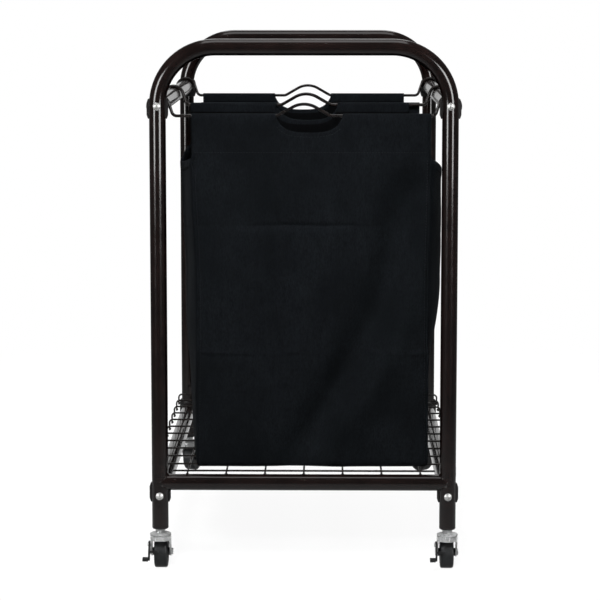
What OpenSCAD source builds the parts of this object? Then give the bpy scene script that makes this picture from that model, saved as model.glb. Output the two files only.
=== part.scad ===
// Rolling laundry cart with two lift-off fabric bags, in millimetres, +Z up.
// The origin is on the floor, midway between the four caster stems.
// +Y runs from the front end frame to the rear one, +X is to the right seen from the front.

/* [Frame] */
// Outer diameter of every frame tube
tube_d = 25.4; // [19:0.1:32]
// Wall thickness of the frame tubes
tube_wall = 1.2; // [0.8:0.1:2.5]
// Distance between the two post centres of an end frame
frame_width = 444.6; // [360:0.1:600]
// Distance between the centres of the two end frames
frame_length = 710; // [500:1:900]
// Height of the centreline of the top bar of each end frame
top_height = 809.3; // [700:0.1:950]
// Centreline radius of the two top bends
bend_radius = 88; // [40:1:120]
// Diameter of the welded cross bars, a little under the posts so that they sit inside the weld
cross_bar_d = 25; // [18:0.1:32]
// Height of the cross bar centreline
cross_bar_height = 139; // [110:1:250]
// Height of the upper side rail centreline
top_rail_height = 720; // [600:1:760]
// Height of the lower side rail centreline
bottom_rail_height = 119; // [90:1:200]

/* [Joint hardware] */
// Height of the saddle collars between rails and posts
collar_height = 30; // [26:1:40]
// Wall of a saddle collar around the post
collar_wall = 3.8; // [2:0.1:6]
// Shank diameter of the frame bolts
bolt_d = 6; // [4:0.5:8]
// Head diameter of the frame bolts
bolt_head_d = 11.8; // [8:0.1:16]

/* [Deck] */
// Diameter of the deck wires
deck_wire_d = 3; // [2:0.1:5]
// Spacing of the deck wires both ways
deck_pitch = 60; // [20:1:90]
// Distance from the middle to the turned-down ends of the cross wires
deck_half_width = 237; // [200:0.5:300]

/* [Bags] */
// Diameter of the bag rods
rod_d = 4.8; // [3:0.1:6]
// Height of the straight part of the bag rods
rod_height = 704; // [600:0.5:740]
// Distance from the middle of the cart to the two outer rods
outer_rod_y = 332; // [200:1:400]
// Distance from the middle of the cart to the two inner rods
inner_rod_y = 5; // [4.6:0.1:30]
// Half width of the raised handle in a rod
handle_half_width = 44; // [35:0.5:70]
// Rise of the handle above the straight rod
handle_rise = 18; // [10:0.5:30]
// Slope of the rod legs that lead up to the rail hooks
leg_slope = 72; // [45:1:85]
// Width of a bag
bag_width = 366; // [280:1:376]
// How far the front bag sits off the middle
front_bag_shift = 6; // [-8:1:8]
// How far the rear bag sits off the middle
rear_bag_shift = -8; // [-8:1:8]
// Height of the bag's underside
bag_bottom = 157.9; // [150:0.1:200]
// Height of the side panels at their corners
side_panel_top = 643; // [500:1:690]
// Sag of the side panels at the middle of their top edge
side_panel_sag = 27; // [5:1:60]
// Thickness of the woven cloth with its seams
cloth = 1.6; // [0.8:0.1:3]

/* [Casters] */
// Wheel diameter
wheel_d = 50; // [40:1:60]
// Wheel width
wheel_width = 20.5; // [15:0.5:24]
// Distance that the wheel trails behind its swivel axis
trail = 18; // [10:0.5:24]
// Rest angle of the rear left caster
rear_left_turn = 19.5; // [-60:0.5:60]
// Rest angle of the rear right caster
rear_right_turn = 35; // [-60:0.5:60]

/* [Hidden] */
$fn = 48;
half_w = frame_width / 2;
half_l = frame_length / 2;
tube_r = tube_d / 2;
bore_r = tube_r - tube_wall;
bend_z = top_height - bend_radius;
top_half = half_w - bend_radius;
plug_flange = 3;
post_bottom = 66;
post_start = post_bottom + plug_flange;
rail_half = half_l - tube_r - collar_wall;
collar_reach = tube_r + collar_wall + 2;
collar_offset = 4;
rail_heights = [bottom_rail_height, top_rail_height];

wire_r = deck_wire_d / 2;
weld = 0.1;
long_wire_z = cross_bar_height + cross_bar_d / 2 + wire_r;
cross_wire_z = long_wire_z + deck_wire_d - weld;
long_wire_half = half_l + 2;
border_wire_y = half_l - 5;
wire_bend_r = 6;
wire_drop = 13;
deck_x_steps = [-3 : 3];
deck_y_steps = [-5 : 5];

handle_turn = 30;
handle_cos = cos(handle_turn);
handle_sin = sin(handle_turn);
handle_foot_r = 12;
handle_arcs_r = (handle_half_width * handle_sin - handle_rise * handle_cos) / (1 - handle_cos);
handle_r = handle_arcs_r - handle_foot_r;
handle_top_z = rod_height + handle_rise;
handle_end = [handle_r * handle_sin, handle_top_z - handle_r * (1 - handle_cos)];
handle_foot_z = rod_height + handle_foot_r * (1 - handle_cos);
handle_foot = [handle_half_width - handle_foot_r * handle_sin, handle_foot_z];
rod_bend_r = 8;
hook_r = 16.5;
hook_gap = 0.05;
hook_z = top_rail_height + tube_r + rod_d / 2 + hook_gap - hook_r;
hook_start = 90 + leg_slope;
hook_end = -20;
leg_top = [half_w + hook_r * cos(hook_start), hook_z + hook_r * sin(hook_start)];
bend_end_z = rod_height + rod_bend_r * (1 - cos(leg_slope));
leg_foot = [leg_top.x - (leg_top.y - bend_end_z) / tan(leg_slope), bend_end_z];
rod_straight_end = leg_foot.x - rod_bend_r * sin(leg_slope);
sleeve_r = 3.9;
hand_hole_half = 52;
hand_hole_depth = 27;
hand_hole_r = (pow(hand_hole_half, 2) + pow(hand_hole_depth, 2)) / (2 * hand_hole_depth);
bag_depth = outer_rod_y - inner_rod_y;
bag_middle_y = (outer_rod_y + inner_rod_y) / 2;
sag_r = (pow(bag_depth / 2, 2) + pow(side_panel_sag, 2)) / (2 * side_panel_sag);

wheel_r = wheel_d / 2;
stem_r = 4.8;
neck_r = 4.75;
race_r = 16.5;
race_bottom = 56.4;
race_top = 60;
ball_r = 1.5;
ball_ring_r = 10.5;
ball_z = 56;
crown_r = 15.6;
crown_wall = 1.7;
crown_bottom = 48;
crown_top = 55.6;
roof_bottom = 53;
cheek_in = 13.65;
cheek_out = 15.45;
axle_r = 3;
axle_boss_r = 7;
axle_reach = 18.2;
run_gap = 0.05;
pivot_y = 0;
pivot_z = 41;
pivot_r = 2.5;
lever_in = 15.8;
lever_out = 18.4;
pad_reach = 27;
toe = [-11.5, 31];
toe_r = 1.6;
pedal = [-14, 20];

frame_colour = [0.12, 0.09, 0.09];
steel_colour = [0.78, 0.79, 0.8];
wire_colour = [0.16, 0.13, 0.12];
cloth_colour = [0.07, 0.09, 0.1];
plastic_colour = [0.06, 0.06, 0.06];
tyre_colour = [0.1, 0.1, 0.1];
pad_colour = [0.6, 0.6, 0.58];

// Frame tubes

// Solid bar along the inverted U of an end frame, from the given height up
module u_bar(r, start) {
    for (side = [-1, 1])
        translate([side * half_w, 0, start])
            cylinder(h = bend_z - start, r = r);
    for (turn = [0, 90])
        translate([turn == 0 ? top_half : -top_half, 0, bend_z])
            rotate([90, 0, 0])
                rotate([0, 0, turn])
                    rotate_extrude(angle = 90)
                        translate([bend_radius, 0])
                            circle(r = r);
    translate([-top_half, 0, top_height])
        rotate([0, 90, 0])
            cylinder(h = 2 * top_half, r = r);
}

// Hollow U tube with the bolt holes for the side rails
module u_tube(y) {
    translate([0, y, 0])
        difference() {
            u_bar(tube_r, post_start);
            u_bar(bore_r, post_start - 1);
            for (side = [-1, 1], z = rail_heights)
                translate([side * half_w, 0, z])
                    rotate([90, 0, 0])
                        cylinder(h = tube_d + 2, r = bolt_d / 2, center = true);
        }
}

module front_u_tube() {
    color(frame_colour) u_tube(-half_l);
}

module rear_u_tube() {
    color(frame_colour) u_tube(half_l);
}

// Cross tube with both ends coped round the posts
module cross_bar(y) {
    translate([0, y, cross_bar_height])
        difference() {
            rotate([0, 90, 0])
                cylinder(h = frame_width, r = cross_bar_d / 2, center = true);
            rotate([0, 90, 0])
                cylinder(h = frame_width + 2, r = cross_bar_d / 2 - tube_wall, center = true);
            for (side = [-1, 1])
                translate([side * half_w, 0, 0])
                    cylinder(h = tube_d * 2, r = tube_r, center = true);
        }
}

module front_cross_bar() {
    color(frame_colour) cross_bar(-half_l);
}

module rear_cross_bar() {
    color(frame_colour) cross_bar(half_l);
}

// Straight side rail between the front and rear collars
module side_rail(side, z) {
    translate([side * half_w, 0, z])
        rotate([90, 0, 0])
            difference() {
                cylinder(h = 2 * rail_half, r = tube_r, center = true);
                cylinder(h = 2 * rail_half + 2, r = bore_r, center = true);
            }
}

module left_top_rail() {
    color(frame_colour) side_rail(-1, top_rail_height);
}

module right_top_rail() {
    color(frame_colour) side_rail(1, top_rail_height);
}

module left_bottom_rail() {
    color(frame_colour) side_rail(-1, bottom_rail_height);
}

module right_bottom_rail() {
    color(frame_colour) side_rail(1, bottom_rail_height);
}

// Frame joints

// Puts its children at the eight rail ends, with +Y pointing along the rail
module at_rail_ends() {
    for (x = [-half_w, half_w], y = [-half_l, half_l], z = rail_heights)
        translate([x, y, z])
            mirror([0, y > 0 ? 1 : 0, 0])
                mirror([0, 0, z == top_rail_height ? 1 : 0])
                    children();
}

// Round part of a saddle collar, set towards the other rail, with its two ends tapered
module collar_barrel() {
    r = tube_r + collar_wall;
    h = collar_height / 2;
    translate([0, 0, collar_offset])
        rotate_extrude()
            polygon([[0, -h], [r - 2, -h], [r, -h + 6], [r, h - 6], [r - 2, h], [0, h]]);
}

// Collar that hugs the post on one side and cups the rail's end on the other
module saddle_collar() {
    difference() {
        union() {
            collar_barrel();
            rotate([-90, 0, 0])
                cylinder(h = collar_reach, r = tube_r + 1.9);
        }
        translate([-20, -40, -20])
            cube([40, 40, 40]);
        translate([0, tube_r + collar_wall, 0])
            rotate([-90, 0, 0])
                cylinder(h = 6, r = tube_r);
        rotate([-90, 0, 0])
            cylinder(h = 30, r = bolt_d / 2);
    }
}

// The eight collars, relieved round the tube's bend and round the cross bars
module saddle_collars() {
    color(plastic_colour)
        difference() {
            at_rail_ends() saddle_collar();
            for (y = [-half_l, half_l])
                translate([0, y, 0]) {
                    u_bar(tube_r, post_start);
                    translate([0, 0, cross_bar_height])
                        rotate([0, 90, 0])
                            cylinder(h = frame_width, r = cross_bar_d / 2 + 0.02, center = true);
                }
        }
}

// Threaded insert pressed into the rail's end
module rail_nut_inserts() {
    color(steel_colour)
        at_rail_ends()
            translate([0, tube_r + collar_wall, 0])
                rotate([-90, 0, 0])
                    difference() {
                        cylinder(h = 14, r = bore_r);
                        translate([0, 0, -1])
                            cylinder(h = 16, r = bolt_d / 2);
                    }
}

// Domed screw with a cross recess, its head seated on the curve of the post
module frame_bolt() {
    difference() {
        rotate([-90, 0, 0])
            intersection() {
                translate([0, 0, -tube_r - 3])
                    cylinder(h = 5, r = bolt_head_d / 2);
                translate([0, 0, -6.5])
                    sphere(r = 9.2);
            }
        cylinder(h = 20, r = tube_r, center = true);
        for (turn = [0, 90])
            rotate([0, turn, 0])
                translate([-2.6, -tube_r - 4, -0.5])
                    cube([5.2, 2.6, 1]);
    }
    translate([0, -tube_r - 0.5, 0])
        rotate([-90, 0, 0])
            cylinder(h = 2 * tube_r + collar_wall + 12.5, r = bolt_d / 2);
}

module frame_bolts() {
    color(steel_colour) at_rail_ends() frame_bolt();
}

// Puts its children at the four post axes
module at_posts() {
    for (x = [-half_w, half_w], y = [-half_l, half_l])
        translate([x, y, 0]) children();
}

// Plug that closes the post's foot and takes the caster stem
module post_end_plugs() {
    color(plastic_colour)
        at_posts()
            rotate_extrude()
                polygon([
                    [stem_r, post_bottom],
                    [tube_r - 2, post_bottom],
                    [tube_r - 0.6, post_bottom + 0.6],
                    [tube_r, post_bottom + 2],
                    [tube_r, post_start],
                    [bore_r, post_start],
                    [bore_r, post_start + 22],
                    [stem_r, post_start + 22]
                ]);
}

// Wire deck

module deck_long_wires() {
    color(wire_colour)
        for (i = deck_x_steps)
            translate([i * deck_pitch, 0, long_wire_z])
                rotate([90, 0, 0])
                    cylinder(h = 2 * long_wire_half, r = wire_r, center = true);
}

// Wire across the deck, both ends turned down outside the lower rails
module deck_cross_wire() {
    straight = deck_half_width - wire_bend_r;
    rotate([0, 90, 0])
        cylinder(h = 2 * straight, r = wire_r, center = true);
    for (turn = [0, 90])
        translate([turn == 0 ? straight : -straight, 0, -wire_bend_r])
            rotate([90, 0, 0])
                rotate([0, 0, turn])
                    rotate_extrude(angle = 90)
                        translate([wire_bend_r, 0])
                            circle(r = wire_r);
    for (side = [-1, 1])
        translate([side * deck_half_width, 0, -wire_bend_r - wire_drop])
            cylinder(h = wire_drop, r = wire_r);
}

module deck_cross_wires() {
    color(wire_colour)
        for (i = deck_y_steps)
            translate([0, i * deck_pitch, cross_wire_z])
                deck_cross_wire();
}

module deck_border_wires() {
    color(wire_colour)
        for (y = [-border_wire_y, border_wire_y])
            translate([0, y, cross_wire_z])
                rotate([0, 90, 0])
                    cylinder(h = 2 * half_w - tube_d - 14, r = wire_r, center = true);
}

// Caster parts that stay with the post

// Threaded stem with its upper race plate and the riveted lower end
module caster_stem() {
    difference() {
        rotate_extrude()
            polygon([
                [0, 50.8],
                [5.6, 50.8],
                [6.6, 51.6],
                [6.6, roof_bottom - 0.1],
                [neck_r, roof_bottom - 0.1],
                [neck_r, race_bottom],
                [race_r - 0.4, race_bottom],
                [race_r, race_bottom + 0.5],
                [race_r, race_bottom + 1.3],
                [race_r - 1.2, race_bottom + 2.1],
                [9.5, race_top - 0.5],
                [7.6, race_top],
                [stem_r, race_top],
                [stem_r, post_start + 26],
                [stem_r - 1, post_start + 27],
                [0, post_start + 27]
            ]);
        rotate_extrude()
            translate([ball_ring_r, ball_z])
                circle(r = ball_r + 0.02);
    }
}

module caster_stems() {
    color(steel_colour) at_posts() caster_stem();
}

module caster_stem_nuts() {
    color(steel_colour)
        at_posts()
            translate([0, 0, race_top])
                difference() {
                    cylinder(h = post_bottom - race_top, d = 15, $fn = 6);
                    translate([0, 0, -1])
                        cylinder(h = 10, r = stem_r);
                }
}

module caster_bearing_balls() {
    color(steel_colour)
        at_posts()
            for (turn = [0 : 30 : 330])
                rotate([0, 0, turn])
                    translate([ball_ring_r, 0, ball_z])
                        sphere(r = ball_r);
}

// Caster parts that swivel, drawn about their own swivel axis with the wheel trailing along +Y

// Point where a line from p touches the circle of radius r about c
function touch(p, c, r, side) =
    let (turn = atan2(p.y - c.y, p.x - c.x) + side * acos(r / norm(p - c)))
    [c.x + r * cos(turn), c.y + r * sin(turn)];

// Puts a profile drawn in Y and Z upright, from one X to another
module side_plate(from_x, to_x) {
    translate([from_x, 0, 0])
        rotate([90, 0, 90])
            linear_extrude(to_x - from_x)
                children();
}

// Rod along X through the given Y and Z
module cross_pin(from_x, to_x, y, z, r) {
    translate([from_x, y, z])
        rotate([0, 90, 0])
            cylinder(h = to_x - from_x, r = r);
}

module cheek_profile() {
    hub = [trail, wheel_r];
    polygon([
        [-9, roof_bottom + 1],
        [-9, 46],
        touch([-9, 46], hub, axle_boss_r - 0.15, 1),
        hub,
        touch([14, roof_bottom], hub, axle_boss_r - 0.15, -1),
        [14, roof_bottom + 1]
    ]);
}

// Pressed fork: a shallow cup round the race with a cheek down each side of the wheel
module fork(brake) {
    difference() {
        union() {
            difference() {
                translate([0, 0, crown_bottom])
                    cylinder(h = crown_top - crown_bottom, r = crown_r);
                translate([0, 0, crown_bottom - 1])
                    cylinder(h = roof_bottom - crown_bottom + 1, r = crown_r - crown_wall);
                translate([-12, 2, crown_bottom - 1])
                    cube([24, 20, 4.4]);
            }
            for (x = [-cheek_out, cheek_in]) {
                side_plate(x, x + cheek_out - cheek_in)
                    cheek_profile();
                cross_pin(x, x + cheek_out - cheek_in, trail, wheel_r, axle_boss_r);
            }
            if (brake) {
                cross_pin(-lever_out - 0.3, -cheek_in, pivot_y, pivot_z, pivot_r);
                cross_pin(-lever_out - 1.5, -lever_out - 0.3, pivot_y, pivot_z, pivot_r + 1.2);
            }
        }
        translate([0, 0, roof_bottom - 1])
            cylinder(h = 5, r = neck_r + run_gap);
        rotate_extrude()
            translate([ball_ring_r, ball_z])
                circle(r = ball_r + 0.1);
        cross_pin(-20, 20, trail, wheel_r, axle_r);
    }
}

// Axle bolt with a round head on the left and a nut on the right
module axle() {
    cross_pin(-cheek_out - 1, axle_reach, trail, wheel_r, axle_r);
    cross_pin(-cheek_out - 2.2, -cheek_out, trail, wheel_r, 5);
    translate([cheek_out, trail, wheel_r])
        rotate([0, 90, 0])
            cylinder(h = axle_reach - cheek_out - 0.3, d = 10.4, $fn = 6);
}

// Wheel centre, dished on both sides and bored for the axle
module hub() {
    rim_r = wheel_r - 7;
    translate([0, trail, wheel_r])
        rotate([0, 90, 0])
            rotate_extrude()
                polygon([
                    [axle_r + run_gap, -cheek_in + 0.3],
                    [6, -cheek_in + 0.3],
                    [7, -6],
                    [rim_r - 3, -6],
                    [rim_r - 2, -9],
                    [rim_r, -9],
                    [rim_r, 9],
                    [rim_r - 2, 9],
                    [rim_r - 3, 6],
                    [7, 6],
                    [6, cheek_in - 0.3],
                    [axle_r + run_gap, cheek_in - 0.3]
                ]);
}

// Rubber tyre with rounded shoulders
module tyre() {
    rim_r = wheel_r - 7;
    half = wheel_width / 2;
    round_r = 3.2;
    shoulder = [for (turn = [0 : 15 : 90]) turn];
    translate([0, trail, wheel_r])
        rotate([0, 90, 0])
            rotate_extrude()
                polygon(concat(
                    [[rim_r, -9], [rim_r + 1, -half]],
                    [for (t = shoulder)
                        [wheel_r - round_r + round_r * sin(t), -half + round_r - round_r * cos(t)]],
                    [for (t = shoulder)
                        [wheel_r - round_r + round_r * cos(t), half - round_r + round_r * sin(t)]],
                    [[rim_r + 1, half], [rim_r, 9]]
                ));
}

// Brake lever outside the left cheek: pivot eye, pedal lug and a toe that reaches in to the tread
module brake_lever() {
    difference() {
        union() {
            cross_pin(-lever_out, -lever_in, pivot_y, pivot_z, 5);
            side_plate(-lever_out, -lever_in)
                polygon([
                    [4.6, pivot_z - 1.6], [-4.6, pivot_z + 1.6],
                    [toe.x - 3, toe.y + 2], [pedal.x - 4, pedal.y + 3], [pedal.x - 4, pedal.y - 1.2],
                    [pedal.x + 4, pedal.y - 1.2], [pedal.x + 5, pedal.y + 5], [toe.x + 7, toe.y - 1]
                ]);
        }
        cross_pin(-20, 0, pivot_y, pivot_z, pivot_r + run_gap);
    }
    cross_pin(-lever_in - 0.5, -3, toe.x, toe.y, toe_r);
    translate([-lever_out - 3.6, pedal.x - 4, pedal.y - 1.2])
        cube([3.6 + 0.5, 8, 2]);
}

// Grip cap on the pedal lug
module brake_pad() {
    difference() {
        translate([-pad_reach, pedal.x - 5, pedal.y - 2.4])
            cube([pad_reach - lever_out, 10, 4.6]);
        translate([-lever_out - 3.6, pedal.x - 4, pedal.y - 1.2])
            cube([10, 8, 2]);
    }
}

module at_front_left() {
    translate([-half_w, -half_l, 0]) children();
}

module at_front_right() {
    translate([half_w, -half_l, 0]) children();
}

module at_rear_left() {
    translate([-half_w, half_l, 0]) rotate([0, 0, -rear_left_turn]) children();
}

module at_rear_right() {
    translate([half_w, half_l, 0]) rotate([0, 0, rear_right_turn]) children();
}

module front_left_fork() {
    color(steel_colour) at_front_left() fork(true);
}

module front_left_axle() {
    color(steel_colour) at_front_left() axle();
}

module front_left_hub() {
    color(plastic_colour) at_front_left() hub();
}

module front_left_tyre() {
    color(tyre_colour) at_front_left() tyre();
}

module front_right_fork() {
    color(steel_colour) at_front_right() fork(true);
}

module front_right_axle() {
    color(steel_colour) at_front_right() axle();
}

module front_right_hub() {
    color(plastic_colour) at_front_right() hub();
}

module front_right_tyre() {
    color(tyre_colour) at_front_right() tyre();
}

module rear_left_fork() {
    color(steel_colour) at_rear_left() fork(false);
}

module rear_left_axle() {
    color(steel_colour) at_rear_left() axle();
}

module rear_left_hub() {
    color(plastic_colour) at_rear_left() hub();
}

module rear_left_tyre() {
    color(tyre_colour) at_rear_left() tyre();
}

module rear_right_fork() {
    color(steel_colour) at_rear_right() fork(false);
}

module rear_right_axle() {
    color(steel_colour) at_rear_right() axle();
}

module rear_right_hub() {
    color(plastic_colour) at_rear_right() hub();
}

module rear_right_tyre() {
    color(tyre_colour) at_rear_right() tyre();
}

module front_left_brake_lever() {
    color(plastic_colour) at_front_left() brake_lever();
}

module front_left_brake_pad() {
    color(pad_colour) at_front_left() brake_pad();
}

module front_right_brake_lever() {
    color(plastic_colour) at_front_right() brake_lever();
}

module front_right_brake_pad() {
    color(pad_colour) at_front_right() brake_pad();
}

// Bags

// Bent piece of round wire in the XZ plane, swept from one angle to another about a centre
module wire_arc(x, z, bend, from, to) {
    translate([x, 0, z])
        rotate([90, 0, 0])
            rotate([0, 0, from])
                rotate_extrude(angle = to - from)
                    translate([bend, 0])
                        circle(r = rod_d / 2);
}

// Straight piece of round wire in the XZ plane, from a point and along a slope
module wire_line(x, z, slope, length) {
    translate([x, 0, z])
        rotate([0, 90 - slope, 0])
            cylinder(h = length, r = rod_d / 2);
}

// Slightly proud ring that joins two pieces of round wire where both run at the given slope
module wire_joint(x, z, slope) {
    translate([x, 0, z])
        rotate([0, 90 - slope, 0])
            cylinder(h = 0.8, r = rod_d / 2 + 0.03, center = true);
}

// Right half of a rod beyond the handle's top: its side, straight run, sloping leg and rail hook
module rod_side() {
    wire_joint(handle_end.x, handle_end.y, -handle_turn);
    wire_joint(handle_foot.x, handle_foot.y, -handle_turn);
    wire_joint(handle_half_width, rod_height, 0);
    wire_joint(rod_straight_end, rod_height, 0);
    wire_joint(leg_foot.x, leg_foot.y, leg_slope);
    wire_joint(leg_top.x, leg_top.y, leg_slope);
    wire_line(handle_end.x, handle_end.y, -handle_turn, norm(handle_foot - handle_end));
    wire_arc(handle_half_width, rod_height + handle_foot_r, handle_foot_r, 270 - handle_turn, 270);
    wire_line(handle_half_width, rod_height, 0, rod_straight_end - handle_half_width);
    wire_arc(rod_straight_end, rod_height + rod_bend_r, rod_bend_r, 270, 270 + leg_slope);
    wire_line(leg_foot.x, leg_foot.y, leg_slope, norm(leg_top - leg_foot));
    wire_arc(half_w, hook_z, hook_r, hook_end, hook_start);
}

// Bag rod: raised handle in the middle and a hook at each end
module bag_rod(y) {
    translate([0, y, 0]) {
        wire_arc(0, handle_top_z - handle_r, handle_r, 90 - handle_turn, 90 + handle_turn);
        rod_side();
        mirror([1, 0, 0]) rod_side();
    }
}

// Panel that hangs from a rod by a sewn sleeve, with a hand hole under the handle
module hung_panel(x, y) {
    translate([x, y, 0])
        difference() {
            union() {
                translate([-bag_width / 2, -cloth / 2, bag_bottom])
                    cube([bag_width, cloth, rod_height - bag_bottom]);
                translate([0, 0, rod_height])
                    rotate([0, 90, 0])
                        cylinder(h = bag_width, r = sleeve_r, center = true);
            }
            translate([0, 0, rod_height])
                rotate([0, 90, 0])
                    cylinder(h = bag_width + 2, r = rod_d / 2 + run_gap, center = true);
            translate([-x, 0, rod_height - hand_hole_depth + hand_hole_r])
                rotate([90, 0, 0])
                    cylinder(h = 20, r = hand_hole_r, center = true);
        }
}

// Side panel between the two hung panels, its top edge sagging
module side_panel(x, side, y) {
    translate([x + side * (bag_width - cloth) / 2, y, 0])
        difference() {
            translate([-cloth / 2, -(bag_depth - cloth) / 2, bag_bottom])
                cube([cloth, bag_depth - cloth, side_panel_top - bag_bottom]);
            translate([0, 0, side_panel_top - side_panel_sag + sag_r])
                rotate([0, 90, 0])
                    cylinder(h = 20, r = sag_r, center = true, $fn = 300);
        }
}

module bottom_panel(x, y) {
    translate([x - bag_width / 2 + cloth, y - (bag_depth - cloth) / 2, bag_bottom])
        cube([bag_width - 2 * cloth, bag_depth - cloth, cloth]);
}

module front_bag_outer_rod() {
    color(wire_colour) bag_rod(-outer_rod_y);
}

module front_bag_inner_rod() {
    color(wire_colour) bag_rod(-inner_rod_y);
}

module front_bag_outer_panel() {
    color(cloth_colour) hung_panel(front_bag_shift, -outer_rod_y);
}

module front_bag_inner_panel() {
    color(cloth_colour) hung_panel(front_bag_shift, -inner_rod_y);
}

module front_bag_left_panel() {
    color(cloth_colour) side_panel(front_bag_shift, -1, -bag_middle_y);
}

module front_bag_right_panel() {
    color(cloth_colour) side_panel(front_bag_shift, 1, -bag_middle_y);
}

module front_bag_bottom_panel() {
    color(cloth_colour) bottom_panel(front_bag_shift, -bag_middle_y);
}

module rear_bag_outer_rod() {
    color(wire_colour) bag_rod(outer_rod_y);
}

module rear_bag_inner_rod() {
    color(wire_colour) bag_rod(inner_rod_y);
}

module rear_bag_outer_panel() {
    color(cloth_colour) hung_panel(rear_bag_shift, outer_rod_y);
}

module rear_bag_inner_panel() {
    color(cloth_colour) hung_panel(rear_bag_shift, inner_rod_y);
}

module rear_bag_left_panel() {
    color(cloth_colour) side_panel(rear_bag_shift, -1, bag_middle_y);
}

module rear_bag_right_panel() {
    color(cloth_colour) side_panel(rear_bag_shift, 1, bag_middle_y);
}

module rear_bag_bottom_panel() {
    color(cloth_colour) bottom_panel(rear_bag_shift, bag_middle_y);
}

front_u_tube();
rear_u_tube();
front_cross_bar();
rear_cross_bar();
left_top_rail();
right_top_rail();
left_bottom_rail();
right_bottom_rail();
saddle_collars();
rail_nut_inserts();
frame_bolts();
post_end_plugs();
deck_long_wires();
deck_cross_wires();
deck_border_wires();
caster_stems();
caster_stem_nuts();
caster_bearing_balls();
front_left_fork();
front_left_axle();
front_left_hub();
front_left_tyre();
front_right_fork();
front_right_axle();
front_right_hub();
front_right_tyre();
rear_left_fork();
rear_left_axle();
rear_left_hub();
rear_left_tyre();
rear_right_fork();
rear_right_axle();
rear_right_hub();
rear_right_tyre();
front_left_brake_lever();
front_left_brake_pad();
front_right_brake_lever();
front_right_brake_pad();
front_bag_outer_rod();
front_bag_inner_rod();
front_bag_outer_panel();
front_bag_inner_panel();
front_bag_left_panel();
front_bag_right_panel();
front_bag_bottom_panel();
rear_bag_outer_rod();
rear_bag_inner_rod();
rear_bag_outer_panel();
rear_bag_inner_panel();
rear_bag_left_panel();
rear_bag_right_panel();
rear_bag_bottom_panel();
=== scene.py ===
"""Laundry cart with two hanging bags: materials, cloth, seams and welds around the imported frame.

Lengths inside the builders are millimetres; meshes are made in metres, in the row frame.
"""

import math

import bpy
import numpy as np
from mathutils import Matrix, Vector
from mathutils.bvhtree import BVHTree


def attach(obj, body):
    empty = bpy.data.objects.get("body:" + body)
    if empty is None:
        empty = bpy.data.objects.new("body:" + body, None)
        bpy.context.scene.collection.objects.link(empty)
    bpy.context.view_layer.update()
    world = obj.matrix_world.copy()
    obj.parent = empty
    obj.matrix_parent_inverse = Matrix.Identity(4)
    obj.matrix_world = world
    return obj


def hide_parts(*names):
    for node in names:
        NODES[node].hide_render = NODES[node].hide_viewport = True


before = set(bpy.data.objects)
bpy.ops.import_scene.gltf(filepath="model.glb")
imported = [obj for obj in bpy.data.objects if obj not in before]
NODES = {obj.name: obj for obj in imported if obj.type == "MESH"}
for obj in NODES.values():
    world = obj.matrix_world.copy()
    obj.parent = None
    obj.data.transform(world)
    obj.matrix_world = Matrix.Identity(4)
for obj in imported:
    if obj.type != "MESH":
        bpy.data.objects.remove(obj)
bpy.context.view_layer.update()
scene = bpy.context.scene
MM = 0.001


# ---------------------------------------------------------------- materials


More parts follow.
